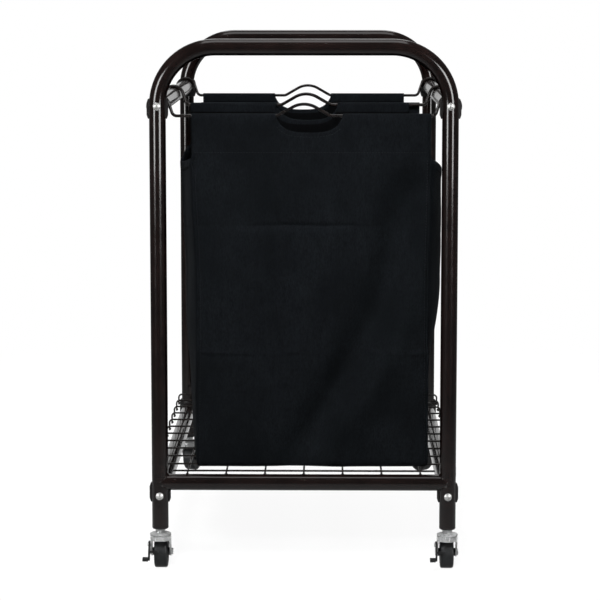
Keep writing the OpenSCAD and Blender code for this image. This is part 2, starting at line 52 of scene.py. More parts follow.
class Finish:
    """A procedural material on object coordinates, built node by node."""

    # a number or an output socket may be given wherever a method takes a value

    def __init__(self, name, color, roughness, metallic=0.0, specular=0.5):
        self.material = bpy.data.materials.new(name)
        self.material.use_nodes = True
        self.tree = self.material.node_tree
        self.shader = self.tree.nodes["Principled BSDF"]
        self.set("Base Color", (*color, 1))
        self.set("Roughness", roughness)
        self.set("Metallic", metallic)
        self.set("Specular IOR Level", specular)
        self.coords = self.tree.nodes.new("ShaderNodeTexCoord").outputs["Object"]
        self.material.diffuse_color = (*color, 1)

    def set(self, socket, value):
        self.shader.inputs[socket].default_value = value

    def feed(self, socket, value):
        if isinstance(value, bpy.types.NodeSocket):
            self.tree.links.new(value, socket)
        else:
            socket.default_value = value

    def scaled(self, x, y, z):
        node = self.tree.nodes.new("ShaderNodeMapping")
        node.inputs["Scale"].default_value = (x, y, z)
        self.tree.links.new(self.coords, node.inputs["Vector"])
        return node.outputs["Vector"]

    def noise(self, scale, detail=2.0, roughness=0.5, vector=None):
        node = self.tree.nodes.new("ShaderNodeTexNoise")
        node.inputs["Scale"].default_value = scale
        node.inputs["Detail"].default_value = detail
        node.inputs["Roughness"].default_value = roughness
        self.tree.links.new(vector or self.coords, node.inputs["Vector"])
        return node.outputs["Fac"]

    def cells(self, scale, vector=None):
        node = self.tree.nodes.new("ShaderNodeTexVoronoi")
        node.inputs["Scale"].default_value = scale
        self.tree.links.new(vector or self.coords, node.inputs["Vector"])
        return node.outputs["Distance"]

    def math(self, operation, a, b=0.0):
        node = self.tree.nodes.new("ShaderNodeMath")
        node.operation = operation
        self.feed(node.inputs[0], a)
        self.feed(node.inputs[1], b)
        return node.outputs[0]

    def ramp(self, value, low, high, to_low, to_high):
        node = self.tree.nodes.new("ShaderNodeMapRange")
        self.feed(node.inputs["Value"], value)
        for name, number in (
            ("From Min", low),
            ("From Max", high),
            ("To Min", to_low),
            ("To Max", to_high),
        ):
            node.inputs[name].default_value = number
        return node.outputs["Result"]

    def axis(self, name):
        node = self.tree.nodes.new("ShaderNodeSeparateXYZ")
        self.tree.links.new(self.coords, node.inputs["Vector"])
        return node.outputs[name]

    def mix(self, factor, a, b):
        node = self.tree.nodes.new("ShaderNodeMix")
        node.data_type = "RGBA"
        self.feed(node.inputs["Factor"], factor)
        colors = [socket for socket in node.inputs if socket.type == "RGBA"]
        for socket, value in zip(colors, (a, b)):
            self.feed(
                socket, value if isinstance(value, bpy.types.NodeSocket) else (*value, 1)
            )
        return next(socket for socket in node.outputs if socket.type == "RGBA")

    def color(self, value):
        self.tree.links.new(value, self.shader.inputs["Base Color"])

    def rough(self, value):
        self.tree.links.new(value, self.shader.inputs["Roughness"])

    def bump(self, height, strength, distance, under=None):
        node = self.tree.nodes.new("ShaderNodeBump")
        node.inputs["Strength"].default_value = strength
        node.inputs["Distance"].default_value = distance
        self.tree.links.new(height, node.inputs["Height"])
        if under is not None:
            self.tree.links.new(under, node.inputs["Normal"])
        return node.outputs["Normal"]

    def normal(self, value):
        self.tree.links.new(value, self.shader.inputs["Normal"])


def painted_steel(name, dark, light, roughness, coat):
    """Bronze-black enamel: soft mottling, faint orange peel and sparse metal flake."""
    f = Finish(name, light, roughness)
    mottle = f.ramp(f.noise(34, 3.0), 0.35, 0.65, 0.0, 1.0)
    flake = f.ramp(f.cells(1500), 0.0, 0.16, 0.5, 0.0)
    base = f.mix(mottle, dark, light)
    f.color(f.mix(flake, base, tuple(2.4 * c for c in light)))
    f.rough(f.ramp(f.noise(60, 3.0), 0.3, 0.7, roughness - 0.03, roughness + 0.04))
    f.normal(f.bump(f.noise(300, 1.0), 0.03, 0.0003))
    f.set("Coat Weight", coat)
    f.set("Coat Roughness", 0.05)
    return f.material


def moulded_plastic(name, color, roughness, grain=1800, strength=0.25):
    """Injection-moulded plastic with a spark-eroded grain and slightly polished high spots."""
    f = Finish(name, color, roughness)
    tone = f.ramp(f.noise(90, 3.0), 0.3, 0.7, 0.0, 1.0)
    f.color(f.mix(tone, tuple(0.8 * c for c in color), tuple(1.25 * c for c in color)))
    f.rough(
        f.ramp(f.noise(240, 3.0, 0.6), 0.3, 0.7, roughness - 0.08, roughness + 0.10)
    )
    f.normal(f.bump(f.noise(grain, 2.0), strength, 0.0002))
    return f.material


def plated_steel(name, color, roughness, metallic=1.0, streak=(1, 1, 1)):
    """Zinc or chrome plate: soft spangle, cloudy passivation and drawn streaks."""
    f = Finish(name, color, roughness, metallic=metallic)
    spangle = f.ramp(f.cells(260), 0.0, 0.9, 0.0, 1.0)
    cloud = f.ramp(f.noise(120, 4.0, 0.6), 0.3, 0.7, 0.0, 1.0)
    tone = f.mix(cloud, tuple(0.82 * c for c in color), color)
    f.color(f.mix(f.math("MULTIPLY", spangle, 0.35), tone, tuple(0.9 * c for c in color)))
    f.rough(
        f.ramp(
            f.noise(300, 3.0, 0.6, f.scaled(*streak)),
            0.3,
            0.7,
            roughness - 0.06,
            roughness + 0.09,
        )
    )
    f.normal(f.bump(f.noise(900, 2.0, 0.5, f.scaled(*streak)), 0.06, 0.0002))
    return f.material


def tyre_rubber():
    """Grey tread rubber: mould grain, scuffed tread and pale dust in the pores."""
    f = Finish("wheel_rubber", (0.028, 0.030, 0.032), 0.50)
    scuff = f.ramp(f.noise(160, 5.0, 0.65), 0.42, 0.72, 0.0, 1.0)
    pores = f.ramp(f.noise(1300, 2.0), 0.55, 0.75, 0.0, 0.7)
    base = f.mix(scuff, (0.015, 0.0165, 0.018), (0.027, 0.0295, 0.031))
    f.color(f.mix(pores, base, (0.045, 0.047, 0.047)))
    f.rough(f.ramp(scuff, 0.0, 1.0, 0.38, 0.62))
    f.normal(f.bump(f.noise(1500, 3.0), 0.35, 0.0003))
    return f.material


def woven_cloth(name, dark, light, fleck):
    """Plain-weave polyester: warp and weft ribs, heathered vertical yarns, soft sheen."""
    f = Finish(name, light, 0.85, specular=0.03)
    across = f.math("ADD", f.axis("X"), f.axis("Y"))
    up = f.axis("Z")
    pitch = 2 * math.pi / 0.0011
    warp = f.math("SINE", f.math("MULTIPLY", across, pitch))
    weft = f.math("SINE", f.math("MULTIPLY", up, pitch))
    weave = f.math("MULTIPLY", warp, weft)
    yarns = f.noise(1.0, 3.0, 0.65, f.scaled(520, 520, 190))
    wide_yarns = f.noise(1.0, 2.0, 0.5, f.scaled(150, 150, 40))
    clouds = f.noise(14, 3.0, 0.5)
    heather = f.ramp(yarns, 0.36, 0.66, 0.0, 1.0)
    bands = f.ramp(wide_yarns, 0.35, 0.65, 0.0, 1.0)
    base = f.mix(heather, dark, light)
    base = f.mix(f.math("MULTIPLY", bands, 0.14), base, fleck)
    shade = f.ramp(clouds, 0.35, 0.65, 0.0, 0.6)
    f.color(f.mix(shade, base, dark))
    f.rough(f.ramp(yarns, 0.3, 0.7, 0.74, 0.92))
    ribs = f.bump(weave, 0.35, 0.0002)
    slubs = f.bump(yarns, 0.30, 0.0004, ribs)
    f.normal(slubs)
    f.set("Sheen Weight", 0.012)
    f.set("Sheen Roughness", 0.45)
    f.set("Sheen Tint", (0.75, 0.85, 0.95, 1))
    return f.material


def sewing_thread():
    """Twisted polyester thread."""
    f = Finish("sewing_thread", (0.006, 0.007, 0.008), 0.6, specular=0.15)
    twist = f.noise(2600, 1.0)
    f.color(f.mix(twist, (0.004, 0.005, 0.006), (0.011, 0.013, 0.015)))
    f.rough(f.ramp(twist, 0.3, 0.7, 0.5, 0.75))
    f.normal(f.bump(twist, 0.4, 0.0002))
    return f.material


FRAME_PAINT = painted_steel(
    "frame_paint", (0.0056, 0.0024, 0.0020), (0.0115, 0.0054, 0.0046), 0.15, 0.40
)
WIRE_COAT = painted_steel(
    "wire_coat", (0.0075, 0.0045, 0.0038), (0.0150, 0.0095, 0.0080), 0.26, 0.3
)
ROD_COAT = painted_steel(
    "rod_coat", (0.0060, 0.0042, 0.0038), (0.0115, 0.0080, 0.0070), 0.26, 0.3
)
BLACK_PLASTIC = moulded_plastic("black_plastic", (0.013, 0.0115, 0.0115), 0.42)
ZINC = plated_steel("zinc", (0.94, 0.95, 0.95), 0.30, metallic=0.45)
SCREW_ZINC = plated_steel("screw_zinc", (0.90, 0.90, 0.88), 0.38, metallic=0.75)
CHROME = plated_steel(
    "caster_chrome", (0.97, 0.98, 0.98), 0.22, metallic=0.40, streak=(1, 1, 0.2)
)
HUB_PLASTIC = moulded_plastic("wheel_plastic", (0.030, 0.030, 0.032), 0.45)
RUBBER = tyre_rubber()
LEVER_BLACK = moulded_plastic("lever_black", (0.011, 0.011, 0.012), 0.34, 1200, 0.12)
PAD_BLACK = moulded_plastic("pad_black", (0.014, 0.014, 0.014), 0.55)
CLOTH = woven_cloth(
    "bag_cloth",
    (0.0050, 0.0060, 0.0072),
    (0.0112, 0.0134, 0.0160),
    (0.0210, 0.0250, 0.0295),
)
# painted shade: a darker cloth for the turned-in hems and the inner face of the bags, which are
# dark only from shade
PAINTED_SHADE_CLOTH = woven_cloth(
    "bag_painted_shade", (0.0020, 0.0022, 0.0025), (0.0036, 0.0040, 0.0044), (0.0060, 0.0064, 0.0070)
)
THREAD = sewing_thread()

LOOKS = {
    "u_tube": FRAME_PAINT,
    "cross_bar": FRAME_PAINT,
    "rail": FRAME_PAINT,
    "saddle_collars": BLACK_PLASTIC,
    "post_end_plugs": BLACK_PLASTIC,
    "rail_nut_inserts": ZINC,
    "frame_bolts": SCREW_ZINC,
    "long_wires": WIRE_COAT,
    "cross_wires": WIRE_COAT,
    "border_wires": WIRE_COAT,
    "caster_stems": ZINC,
    "caster_stem_nuts": ZINC,
    "bearing_balls": CHROME,
    "fork": CHROME,
    "axle": ZINC,
    "hub": HUB_PLASTIC,
    "tyre": RUBBER,
    "brake_lever": LEVER_BLACK,
    "brake_pad": PAD_BLACK,
    "rod": ROD_COAT,
    "panel": CLOTH,
}
for name, node in NODES.items():
    ending = max((e for e in LOOKS if name.endswith(e)), key=len)
    for slot in node.material_slots:
        slot.link = "OBJECT"
        slot.material = LOOKS[ending]


# ------------------------------------------------------------ mesh helpers


def smooth(low, high, value):
    """Eased share of the way from low to high, between 0 and 1; low may be the larger."""
    t = np.clip((np.asarray(value, float) - low) / (high - low), 0, 1)
    return t * t * (3 - 2 * t)


def make_piece(name, points, faces, material, body=None):
    """A smooth mesh object from points in millimetres, riding on a body if one is named."""
    mesh = bpy.data.meshes.new(name)
    mesh.from_pydata([tuple(p) for p in np.asarray(points) * MM], [], faces)
    mesh.materials.append(material)
    piece = bpy.data.objects.new(name, mesh)
    scene.collection.objects.link(piece)
    mesh.shade_smooth()
    if body:
        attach(piece, body)
    return piece


def apply_modifiers(piece):
    """Bakes the modifiers of a piece into its mesh."""
    graph = bpy.context.evaluated_depsgraph_get()
    graph.update()
    old = piece.data
    piece.data = bpy.data.meshes.new_from_object(piece.evaluated_get(graph))
    piece.modifiers.clear()
    bpy.data.meshes.remove(old)


def tube(path, radius, sides=8, closed=False):
    """Points and faces of a round tube along a path; radius may vary along it."""
    path = np.asarray(path, float)
    n = len(path)
    radius = np.broadcast_to(np.asarray(radius, float), (n,))
    if closed:
        ahead = np.roll(path, -1, 0) - np.roll(path, 1, 0)
    else:
        ahead = np.gradient(path, axis=0)
    ahead /= np.linalg.norm(ahead, axis=1)[:, None]
    side = np.cross(ahead[0], (0.31, 0.87, 0.39))
    points, faces = [], []
    for i in range(n):
        side = side - ahead[i] * side.dot(ahead[i])
        side /= np.linalg.norm(side)
        other = np.cross(ahead[i], side)
        for k in range(sides):
            a = 2 * math.pi * k / sides
            points.append(
                path[i] + radius[i] * (math.cos(a) * side + math.sin(a) * other)
            )
    rings = n if closed else n - 1
    for i in range(rings):
        j = (i + 1) % n
        for k in range(sides):
            m = (k + 1) % sides
            faces.append((i * sides + k, i * sides + m, j * sides + m, j * sides + k))
    if not closed:
        faces.append(tuple(reversed(range(sides))))
        faces.append(tuple((n - 1) * sides + k for k in range(sides)))
    return np.array(points), faces


def lump(centre, radii, sides=8, rings=5):
    """Points and faces of an ellipsoid."""
    points, faces = [(0, 0, -1)], []
    for i in range(1, rings):
        a = math.pi * i / rings
        for k in range(sides):
            b = 2 * math.pi * k / sides
            points.append(
                (math.sin(a) * math.cos(b), math.sin(a) * math.sin(b), -math.cos(a))
            )
    points.append((0, 0, 1))
    top = len(points) - 1
    for k in range(sides):
        m = (k + 1) % sides
        faces.append((0, 1 + m, 1 + k))
        for i in range(rings - 2):
            a, b = 1 + i * sides, 1 + (i + 1) * sides
            faces.append((a + k, a + m, b + m, b + k))
        last = 1 + (rings - 2) * sides
        faces.append((last + k, last + m, top))
    return np.array(points) * radii + centre, faces


def surface_tree(mesh):
    """Search tree over a mesh, in millimetres."""
    return BVHTree.FromPolygons(
        [v.co / MM for v in mesh.vertices], [tuple(p.vertices) for p in mesh.polygons]
    )


def joined(parts):
    """One point list and face list from several."""
    points, faces, base = [], [], 0
    for p, f in parts:
        points.append(np.asarray(p))
        faces += [tuple(i + base for i in face) for face in f]
        base += len(p)
    return np.vstack(points), faces


def stitch_row(tree, path, look, pitch=4.4, length=3.1, radius=0.36):
    """Threads laid on a surface along a path, each a short capsule half sunk in the cloth."""
    path = np.asarray(path, float)
    step = np.linalg.norm(np.diff(path, axis=0), axis=1)
    run = np.concatenate(([0], np.cumsum(step)))
    parts = []
    for at in np.arange(0.5 * pitch, run[-1] - 0.5 * pitch, pitch):
        ends = []
        for offset in (-0.5 * length, 0.5 * length):
            p = [np.interp(at + offset, run, path[:, k]) for k in range(3)]
            hit = tree.ray_cast(Vector(np.array(p) - 30 * np.array(look)), Vector(look), 80)
            if hit[0] is None:
                break
            ends.append(np.array(hit[0]) + 0.12 * np.array(hit[1]))
        if len(ends) < 2 or np.linalg.norm(ends[1] - ends[0]) > 1.6 * length:
            continue
        a, b = ends
        middle = [a + (b - a) * t for t in (0, 0.12, 0.5, 0.88, 1)]
        middle[2] = middle[2] - 0.1 * np.array(look)
        parts.append(tube(middle, radius * np.array([0.35, 0.85, 1, 0.85, 0.35]), 6))
    return parts


# ------------------------------------------------------------------- bags

CLOTH_THICK = 1.1
ROD_Z = 704.0
CORNER_Z = 638.0
SEAM_Z = 648.0
FLOOR_Z = 158.4
HOLE_HALF, HOLE_DEPTH = 51.0, 27.0
# distance of the cloth from the rod's axis in a sleeve, and from the fold at a hand hole
SLEEVE_R, FOLD_R = 3.6, 0.85
# distance of a hung panel's cloth from the plane of its rod
HANG = 0.75
# height of a packing crease and how far it stands out of the panel
CREASES = ((535.7, -3.4), (338.0, 2.6))
CREASE_HALF = 3.2
# beyond this Y the bottom has no deck wire under it
LAST_WIRE_Y = 306.0
# half of the gap kept between the two bags
BAG_GAP = 2.4
# longest move that the simulation may make
DRAPE_CAP = 14.0
# rows of faces over the rod, and how far the turned-in cloth reaches past the seam
OVER_ROD, PAST_SEAM = 4, 7.0
# distance of a stitched row from an edge
STITCH_INSET = 5.0
# section of the edge tape: distance out of the cloth, and down from its edge
TAPE = (
    (-0.65, 12.0), (-0.75, 9.0), (-0.8, 4.0), (-0.8, 0.5), (-0.5, -0.9), (0.0, -1.3),
    (0.5, -0.9), (0.8, 0.5), (0.8, 4.0), (0.75, 9.0), (0.65, 12.0), (1.15, 12.1),
    (1.35, 9.0), (1.4, 4.0), (1.35, 0.3), (0.9, -1.5), (0.0, -2.0), (-0.9, -1.5),
    (-1.35, 0.3), (-1.4, 4.0), (-1.35, 9.0), (-1.15, 12.1),
)
# the near and the left side, and the far and the right one
SIDES = (-1, 1)


def lowest(y, beyond, over):
    """Height that the cloth may reach: beyond the last deck wire, or over the wires."""
    return np.where(abs(y) > LAST_WIRE_Y, beyond, over)


def hole_edge(x, grow=0.0):
    """Height of the rim of a hand hole under its rod, or of a line set outside it."""
    share = min(abs(x) / (HOLE_HALF + grow), 1.0)
    return ROD_Z - (HOLE_DEPTH + grow) * (1 - share**3.4) ** 0.6


def drape(piece, hold):
    """Short cloth simulation: the sheet settles under its weight from the sewn shape."""
    group = piece.vertex_groups.new(name="hold")
    for i, w in enumerate(hold):
        group.add([i], float(w), "REPLACE")
    cloth = piece.modifiers.new("cloth", "CLOTH")
    s = cloth.settings
    s.quality = 8
    s.mass = 0.12
    s.tension_stiffness = 22
    s.compression_stiffness = 14
    s.shear_stiffness = 8
    s.bending_stiffness = 1.2
    s.tension_damping = s.compression_damping = s.shear_damping = 12
    s.air_damping = 3
    s.vertex_group_mass = "hold"
    s.pin_stiffness = 1.0
    s.shrink_min = -0.004
    cloth.collision_settings.use_self_collision = False
    cloth.point_cache.frame_start = 1
    cloth.point_cache.frame_end = 30
    for frame_number in range(1, 29):
        scene.frame_set(frame_number)
    graph = bpy.context.evaluated_depsgraph_get()
    settled = piece.evaluated_get(graph).data
    co = np.empty(len(settled.vertices) * 3)
    settled.vertices.foreach_get("co", co)
    piece.modifiers.remove(cloth)
    piece.vertex_groups.clear()
    scene.frame_set(1)
    return co.reshape(-1, 3) / MM


class Bag:
    """One bag: a lofted shell of cloth hung from two rods, open at the top.

    near_y, far_y: planes of the two rods
    left, right: X of the near panel's edges at the top, in the middle and at the bottom
    skew: shift in X of the far panel against the near one
    holes: X of the centres of the near and far hand holes
    folds: for each hung panel, rows of the table that wave() reads
    bulge: for each side panel, the four numbers that side_point() reads
    seed: phase of the rumples
    """

    def __init__(self, body, near_y, far_y, left, right, skew, holes, folds, bulge, seed):
        self.body = body
        self.rod_y = {-1: near_y, 1: far_y}
        self.deep = far_y - near_y
        self.left, self.right = left, right
        self.skew = skew
        self.hole_x, self.hole_shift = holes[0], holes[1] - holes[0]
        self.folds = folds
        self.bulge = bulge
        self.seed = seed
        self.points, self.faces, self.hold = [], [], []
        self.lay_out_grid()
        self.loft_walls()
        self.fill_bottom()
        self.raise_hems()
        self.hang()
        self.turn_hems_in()
        self.finish_shell()
        self.extras = [self.seams(), self.bindings(), self.stitches()]

    def edge(self, which, z, t=0.0):
        """X of the left or right edge at a height; t runs from the near panel to the far one."""
        top, middle, bottom = self.left if which < 0 else self.right
        v = (np.clip(z, FLOOR_Z, CORNER_Z) - FLOOR_Z) / (CORNER_Z - FLOOR_Z)
        low = bottom + (middle - bottom) * smooth(0, 0.6, v)
        return low + (top - middle) * smooth(0.6, 1, v) + self.skew * t

    def hem_x(self, side, x):
        """X of a point of the sleeve; the far panel's hole and ends have their own shifts."""
        if side < 0:
            return x
        share = max(abs(x - self.hole_x) - HOLE_HALF, 0.0) / (185.0 - HOLE_HALF)
        return x + self.hole_shift + (self.skew - self.hole_shift) * min(share, 1.0)

    def wave(self, side, x, z):
        """Outward swing of a hung panel, from its ridges and valleys."""
        v = np.clip((SEAM_Z - z) / (SEAM_Z - FLOOR_Z), 0, 1)
        out = 0.0
        for where, lean, bow, width, depth, start, end in self.folds[side]:
            line = where + lean * v + bow * np.sin(math.pi * v) ** 2
            out += (
                depth
                * np.exp(-(((x - line) / width) ** 2))
                * smooth(start, start + 0.16, v)
                * (1 - smooth(end - 0.22, end, v))
            )
        return out

    def panel_point(self, side, s, z):
        """A point of a hung panel; side is -1 for the near one and +1 for the far one."""
        t = 0.0 if side < 0 else 1.0
        x = self.edge(-1, z, t) + s * (self.edge(1, z, t) - self.edge(-1, z, t))
        y = self.rod_y[side] + side * (HANG + self.wave(side, x, z))
        return np.array([x, y, z])

    def side_point(self, side, t, f):
        """A point of a side panel; t runs from near to far, f from the bottom to the top edge.

        The bulge holds the swell's depth, the height where it is full, the height where it
        starts, and the sag of the top edge.
        """
        depth, full, empty, sag = self.bulge[side]
        dip = sag * math.sin(math.pi * t) ** 0.9
        z = FLOOR_Z + f * (CORNER_Z - dip - FLOOR_Z)
        swell = depth * float(smooth(empty, full, z)) * math.sin(math.pi * t) ** 0.75
        ripple = math.sin(2 * math.pi * (1.7 * t + 0.8 * f + 0.3 * side))
        swell += 1.6 * ripple * math.sin(math.pi * t)
        y0 = self.panel_point(-1, 0 if side < 0 else 1, z)[1]
        y1 = self.panel_point(1, 0 if side < 0 else 1, z)[1]
        return np.array([self.edge(side, z, t) + side * swell, y0 + t * (y1 - y0), z])

    def add(self, point, hold):
        """Adds a point and how firmly it is held in the simulation; returns its number."""
        self.points.append(point)
        self.hold.append(hold)
        return len(self.points) - 1

    def lay_out_grid(self):
        """Shares across and along the bag, and the heights of the rows of its walls."""
        width = self.right[0] - self.left[0]
        hole = [(self.hole_x + c - self.left[0]) / width for c in (-HOLE_HALF, HOLE_HALF)]
        fan = np.cos(np.linspace(0, math.pi, 15))
        self.across = np.concatenate(
            [
                np.linspace(0, hole[0], 13)[:-1],
                (0.5 * (hole[0] + hole[1]) - 0.5 * (hole[1] - hole[0]) * fan)[:-1],
                np.linspace(hole[1], 1, 14),
            ]
        )
        self.top_x = [self.left[0] + s * width for s in self.across]
        self.sleeve = [abs(x - self.hole_x) > HOLE_HALF - 0.01 for x in self.top_x]
        self.nx = len(self.across) - 1
        self.ny = 27
        self.along = np.linspace(0, 1, self.ny + 1)
        heights = np.linspace(FLOOR_Z, CORNER_Z, 40)
        for crease, _ in CREASES:
            k = int(np.argmin(abs(heights - crease)))
            heights[k] = crease
            heights[k - 1] = 0.5 * (heights[k - 2] + crease) + 2.2
            heights[k + 1] = 0.5 * (heights[k + 2] + crease) - 2.2
            close = (crease - CREASE_HALF, crease + CREASE_HALF)
            heights = np.sort(np.append(heights, close))
        self.heights = heights

    def loft_walls(self):
        """Rows of points round the four walls, from the bottom up to the corners."""
        self.ring = []
        for z in self.heights:
            f = (z - FLOOR_Z) / (CORNER_Z - FLOOR_Z)
            ease = 0.42 + 0.5 * float(smooth(0.90, 1.0, f)) + 0.35 * float(smooth(0.06, 0.0, f))
            row = [self.add(self.panel_point(-1, s, z), ease) for s in self.across]
            row += [self.add(self.side_point(1, t, f), 0.40) for t in self.along[1:-1]]
            row += [self.add(self.panel_point(1, s, z), ease) for s in self.across[::-1]]
            row += [self.add(self.side_point(-1, t, f), 0.40) for t in self.along[-2:0:-1]]
            self.ring.append(row)
        count = len(self.ring[0])
        for low, high in zip(self.ring, self.ring[1:]):
            for c in range(count):
                d = (c + 1) % count
                self.faces.append((low[c], low[d], high[d], high[c]))

    def panel_row(self, row, side):
        """The numbers of a hung panel's points in a row, from left to right."""
        if side < 0:
            return row[: self.nx + 1]
        return row[self.nx + self.ny : 2 * self.nx + self.ny + 1][::-1]

    def fill_bottom(self):
        """The bottom panel, between the lowest points of the walls."""
        base = self.ring[0]
        near, far = self.panel_row(base, -1), self.panel_row(base, 1)
        right = base[self.nx : self.nx + self.ny + 1]
        left = [base[0]] + base[2 * self.nx + self.ny + 1 :][::-1] + [far[0]]
        floor = [near]
        for j in range(1, self.ny):
            a, b = self.points[left[j]], self.points[right[j]]
            line = [left[j]]
            for s in self.across[1:-1]:
                p = a + (b - a) * s
                p[2] = FLOOR_Z
                line.append(self.add(p, 0.9))
            floor.append([*line, right[j]])
        floor.append(far)
        for here, back in zip(floor, floor[1:]):
            for i in range(self.nx):
                self.faces.append((here[i], back[i], back[i + 1], here[i + 1]))

    def add_strip(self, columns, side, mouths=()):
        """Faces between columns of a hung panel, open over the rod at the mouths of the
        sleeve; returns the row of each face."""
        rows = []
        for i in range(self.nx):
            a, b = columns[i], columns[i + 1]
            for k in range(OVER_ROD if i in mouths else 0, len(a) - 1):
                quad = (a[k], b[k], b[k + 1], a[k + 1])
                self.faces.append(quad if side < 0 else quad[::-1])
                rows.append(k)
        return rows

    def raise_hems(self):
        """The hems from the seam up to the rods and to the rims of the hand holes."""
        self.hems = {}
        for side in SIDES:
            row = self.panel_row(self.ring[-1], side)
            columns = []
            for start, x, sleeve in zip(row, self.top_x, self.sleeve):
                top = ROD_Z if sleeve else hole_edge(x - self.hole_x)
                reach = SLEEVE_R if sleeve else FOLD_R
                hung = self.points[start][0]
                column = [start]
                for g in (0.0, 0.2, 0.4, 0.6, 0.8, 1.0):
                    z = SEAM_Z + g * (top - SEAM_Z)
                    off = HANG + (reach - HANG) * float(smooth(0.15, 1.0, g)) ** 1.3
                    place = hung + (self.hem_x(side, x) - hung) * g
                    y = self.rod_y[side] + side * off
                    column.append(self.add(np.array([place, y, z]), 1.0))
                columns.append(column)
            self.add_strip(columns, side)
            self.hems[side] = columns

    def hang(self):
        """Lets the shell settle, then keeps it off the deck and off the other bag."""
        points = np.array(self.points)
        shell = make_piece(f"{self.body}_cloth", self.points, self.faces, CLOTH)
        move = drape(shell, self.hold) - points
        size = np.linalg.norm(move, axis=1)
        move *= (np.tanh(size / DRAPE_CAP) * DRAPE_CAP / np.maximum(size, 1e-9))[:, None]
        points = points + move
        bpy.data.objects.remove(shell)
        away = 1 if self.rod_y[-1] > 0 else -1
        y = away * points[:, 1]
        close = y < BAG_GAP
        y[close] = BAG_GAP - 0.4 * np.tanh((BAG_GAP - y[close]) / 4)
        points[:, 1] = away * y
        points[:, 2] = np.maximum(points[:, 2], lowest(points[:, 1], 156.0, 158.3))
        self.points = list(points)

    def turn_hems_in(self):
        """Carries the cloth over the rods and down inside, past the seam."""
        self.facing = []
        for side in SIDES:
            rod_y = self.rod_y[side]
            inside = []
            for column, sleeve in zip(self.hems[side], self.sleeve):
                reach = SLEEVE_R if sleeve else FOLD_R
                outer = [self.points[j] for j in column[1:]]
                x, _, z = outer[-1]
                path = []
                for degrees in (45, 90, 135):
                    a = math.radians(degrees)
                    y = rod_y + side * reach * math.cos(a)
                    path.append(np.array([x, y, z + reach * math.sin(a)]))
                path += [np.array([p[0], 2 * rod_y - p[1], p[2]]) for p in outer[::-1]]
                path.append(path[-1] + np.array([0, 0, -PAST_SEAM]))
                inside.append([column[-1], *(self.add(p, 1.0) for p in path)])
            mouths = [i for i in range(self.nx) if self.sleeve[i] != self.sleeve[i + 1]]
            first = len(self.faces)
            rows = self.add_strip(inside, side, mouths)
            self.facing += [first + n for n, row in enumerate(rows) if row > OVER_ROD]

    def finish_shell(self):
        """The cloth itself: smoothed, pressed and given its thickness, with painted shade in a
        darker cloth on the turned-in hems and the inner face.
        """
        piece = make_piece(f"{self.body}_cloth", self.points, self.faces, CLOTH)
        # painted shade: the turned-in hems get the darker cloth
        piece.data.materials.append(PAINTED_SHADE_CLOTH)
        for i in self.facing:
            piece.data.polygons[i].material_index = 1
        divide = piece.modifiers.new("divide", "SUBSURF")
        divide.levels = divide.render_levels = 1
        apply_modifiers(piece)
        self.press(piece)
        self.surface = surface_tree(piece.data)
        thick = piece.modifiers.new("thick", "SOLIDIFY")
        thick.thickness = CLOTH_THICK * MM
        thick.offset = 0
        # painted shade: the faces that the solidify adds get the darker cloth too
        thick.material_offset = 1
        apply_modifiers(piece)
        piece.data.shade_smooth()
        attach(piece, self.body)
        panels = ("outer", "inner", "left", "right", "bottom")
        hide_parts(*[f"{self.body}_{panel}_panel" for panel in panels])
        self.piece = piece

    def press(self, piece):
        """Packing creases, the pull of the hem seam and fine rumples, as geometry."""
        mesh = piece.data
        n = len(mesh.vertices)
        co = np.empty(n * 3)
        mesh.vertices.foreach_get("co", co)
        co = co.reshape(-1, 3) / MM
        no = np.empty(n * 3)
        mesh.vertices.foreach_get("normal", no)
        no = no.reshape(-1, 3)
        x, y, z = co.T
        near, far = (np.exp(-(((y - self.rod_y[side]) / 9) ** 2)) for side in SIDES)
        hung = np.maximum(near, far)
        step = np.zeros(n)
        for k, (crease, rise) in enumerate(CREASES):
            reach = 0.45 + 0.55 * np.sin(0.021 * (x + 40 * k) + 1.3 + k + self.seed)
            fold = np.exp(-(((z - crease) / CREASE_HALF) ** 2))
            swell = np.exp(-(((z - crease + 15) / 11) ** 2))
            step += rise * fold * np.clip(reach, 0.2, 1) * hung
            step += 1.5 * swell * np.clip(reach, 0.3, 1) * hung
        step -= 0.45 * np.exp(-(((z - SEAM_Z) / 2.6) ** 2)) * hung
        body = smooth(SEAM_Z - 6, SEAM_Z - 60, z)
        rumple = (
            np.sin(0.051 * x + 0.012 * z + self.seed)
            * np.sin(0.031 * z + 0.02 * y + 0.7 * self.seed)
            + 0.6 * np.sin(0.093 * (x + y) - 0.027 * z + 2.1 * self.seed)
            * np.sin(0.057 * z + 1.9)
        )
        step += 0.55 * rumple * body * (z > FLOOR_Z + 4)
        co += no * step[:, None]
        co[:, 2] = np.maximum(co[:, 2], lowest(co[:, 1], 155.7, 158.2))
        mesh.vertices.foreach_set("co", (co * MM).ravel())
        mesh.update()

    def seams(self):
        """Piped ridges where the side panels and the bottom are sewn to the hung strip."""
        parts = []
        for corner, out_x, out_y in (
            (0, -1, -1),
            (self.nx, 1, -1),
            (self.nx + self.ny, 1, 1),
            (2 * self.nx + self.ny, -1, 1),
        ):
            path = self.settle(np.array([self.points[row[corner]] for row in self.ring]))
            parts.append(tube(path + 0.1 * np.array([out_x, out_y, 0]), 1.35, 8))
        base = [self.points[i] for i in self.ring[0]]
        loop = self.settle(np.array(base + base[:1]))[:-1]
        loop[:, 2] = np.maximum(loop[:, 2], 157.4)
        parts.append(tube(loop, 1.25, 8, closed=True))
        pts, fcs = joined(parts)
        return make_piece(f"{self.body}_seams", pts, fcs, CLOTH, self.body)

    def settle(self, path):
        """Moves a path onto the finished surface and smooths it."""
        out = []
        for p in path:
            hit = self.surface.find_nearest(Vector(p))
            out.append(np.array(hit[0]))
        out = np.array(out)
        for _ in range(2):
            out[1:-1] = 0.25 * out[:-2] + 0.5 * out[1:-1] + 0.25 * out[2:]
        return out

